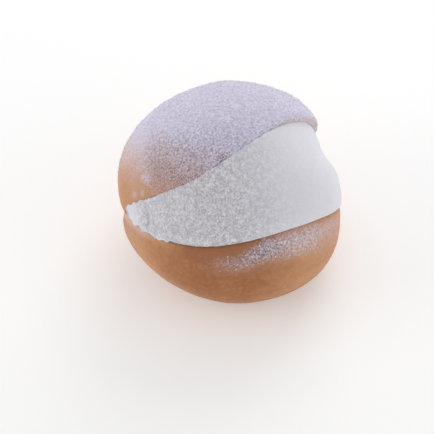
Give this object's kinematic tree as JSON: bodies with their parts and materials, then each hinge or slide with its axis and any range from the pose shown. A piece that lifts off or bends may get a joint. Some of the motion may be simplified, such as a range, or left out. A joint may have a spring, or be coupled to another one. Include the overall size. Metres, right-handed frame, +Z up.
{
  "type": "maritozzo",
  "caption": "Round sweet bun slit on the slant, opened like a clam and filled with whipped cream, dusted with icing sugar.",
  "frame": {"origin": "middle of the part's box on the surface that it rests on", "axes": "+Z up, the open side with the cream toward +X and -Y, the uncut back toward -X and +Y"},
  "size_m": [0.1034, 0.1085, 0.0847],
  "materials": {
    "crust": "satin baked crust",
    "cream": "matt whipped cream",
    "sugar": "matt icing sugar"
  },
  "bodies": {
    "root": {"bun": "crust", "cream": "cream"}
  },
  "joints": []
}
